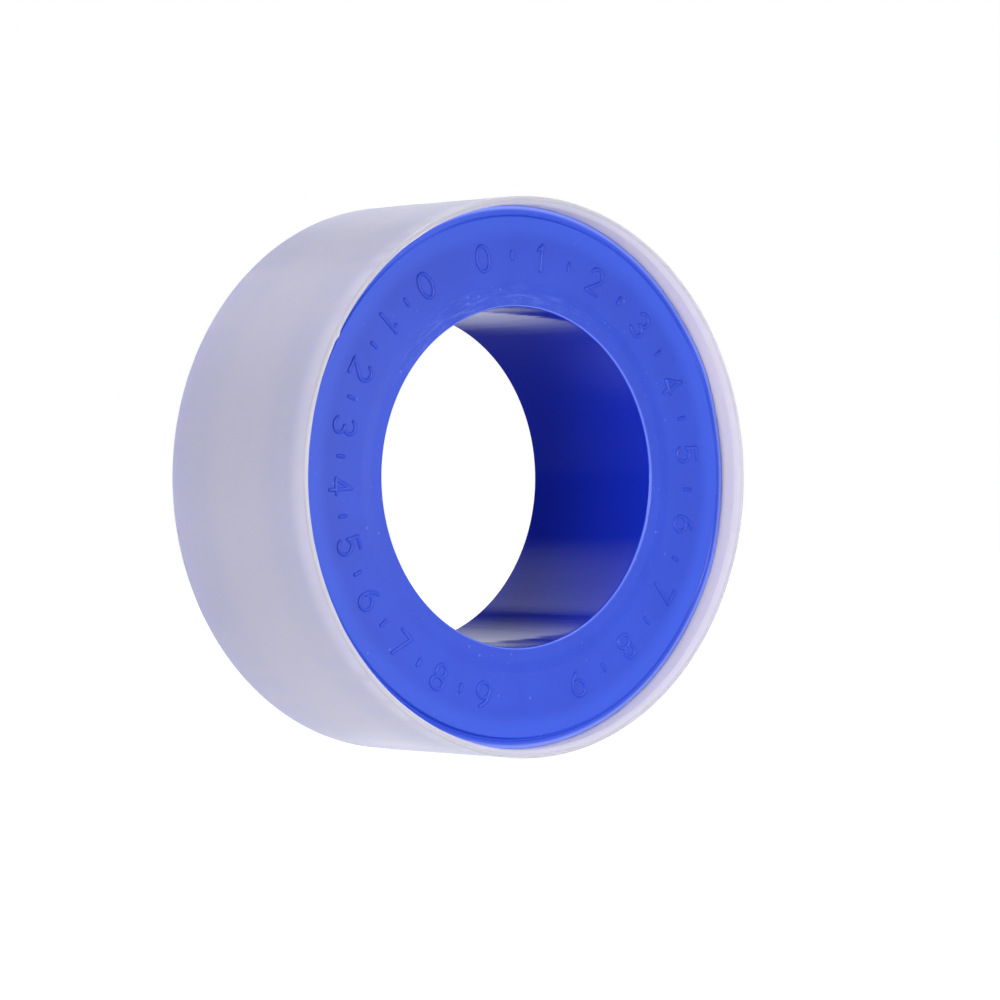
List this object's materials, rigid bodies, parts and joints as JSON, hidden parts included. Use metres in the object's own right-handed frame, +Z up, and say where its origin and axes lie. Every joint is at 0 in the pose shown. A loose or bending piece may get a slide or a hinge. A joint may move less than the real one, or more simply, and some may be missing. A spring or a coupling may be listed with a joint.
{
  "type": "thread seal tape roll",
  "caption": "Flanged spool of thin white thread seal tape that sits and turns in a round translucent push-on cover and pulls out of it along its axis.",
  "frame": {"origin": "centre of the roll, on its axis, halfway between the cover's front and back rims", "axes": "Y along the roll's axis with the blue flange facing -Y, +Z up and +X to the right; the roll stands on the cover's wall"},
  "size_m": [0.046, 0.0188, 0.046],
  "materials": {
    "cover_plastic": "milky translucent polypropylene, satin gloss",
    "spool_plastic": "blue moulded plastic, satin face and glossy bore",
    "tape_film": "soft white unsintered PTFE film"
  },
  "bodies": {
    "cover": {"cover": "cover_plastic"},
    "outer_turn": {"tape_outer_turn": "tape_film"},
    "spool": {"spool": "spool_plastic", "tape_pack": "tape_film"}
  },
  "joints": [
    {"name": "spool_pull", "type": "slide", "parent": "cover", "child": "outer_turn", "axis": [0, -1, 0], "range_m": [0, 0.02]},
    {"name": "spool_turn", "type": "hinge", "parent": "outer_turn", "child": "spool", "pos_m": [0, 0, 0], "axis": [0, 1, 0], "continuous": true}
  ]
}
